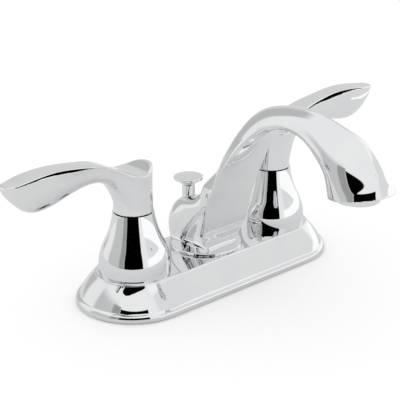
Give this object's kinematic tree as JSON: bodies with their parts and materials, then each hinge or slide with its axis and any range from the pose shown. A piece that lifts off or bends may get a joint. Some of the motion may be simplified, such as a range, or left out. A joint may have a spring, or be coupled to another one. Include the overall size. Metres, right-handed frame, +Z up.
{
  "type": "centerset bathroom faucet",
  "caption": "Two-handle centerset bathroom faucet with an arched spout, lever handles on bell covers, a drain lift rod and a one-piece deck cover.",
  "frame": {"origin": "centre of the base's underside on the deck plane, midway between the two valve axes", "axes": "+Z up, +X along the base to the user's right (cold side), -Y towards the user, under the outlet"},
  "size_m": [0.261, 0.1561, 0.1774],
  "materials": {
    "chrome": "polished chrome plate",
    "brass": "machined brass",
    "copper": "drawn copper tube",
    "steel": "plated steel",
    "rubber": "matte black rubber",
    "acetal": "natural acetal",
    "ceramic": "lapped ceramic"
  },
  "bodies": {
    "root": {"deck_cover": "chrome", "deck_gasket": "rubber", "spout": "chrome", "spout_nipple": "brass", "spout_retaining_nut": "brass", "spout_seal": "rubber", "waterway_tee": "brass", "aerator_shell": "chrome", "aerator_insert": "acetal", "aerator_washer": "rubber", "rod_guide": "acetal", "hot_bell": "chrome", "hot_valve_body": "brass", "hot_seat_seal": "rubber", "hot_fixed_disc": "ceramic", "hot_cartridge_body": "acetal", "hot_bonnet_nut": "brass", "hot_shank_washer": "steel", "hot_mounting_nut": "brass", "hot_cross_tube": "copper", "cold_bell": "chrome", "cold_valve_body": "brass", "cold_seat_seal": "rubber", "cold_fixed_disc": "ceramic", "cold_cartridge_body": "acetal", "cold_bonnet_nut": "brass", "cold_shank_washer": "steel", "cold_mounting_nut": "brass", "cold_cross_tube": "copper"},
    "hot_handle": {"hot_lever": "chrome", "hot_set_screw": "steel", "hot_stem": "brass", "hot_rotating_disc": "ceramic"},
    "cold_handle": {"cold_lever": "chrome", "cold_set_screw": "steel", "cold_stem": "brass", "cold_rotating_disc": "ceramic"},
    "lift_rod_body": {"lift_rod": "steel", "lift_knob": "chrome"}
  },
  "joints": [
    {"name": "hot_handle_turn", "type": "hinge", "parent": "root", "child": "hot_handle", "pos_m": [-0.0508, 0, 0], "axis": [0, 0, 1], "range_deg": [0, 90]},
    {"name": "cold_handle_turn", "type": "hinge", "parent": "root", "child": "cold_handle", "pos_m": [0.0508, 0, 0], "axis": [0, 0, 1], "range_deg": [-90, 0]},
    {"name": "lift_rod_slide", "type": "slide", "parent": "root", "child": "lift_rod_body", "axis": [0, 0, 1], "range_m": [0, 0.028]}
  ]
}
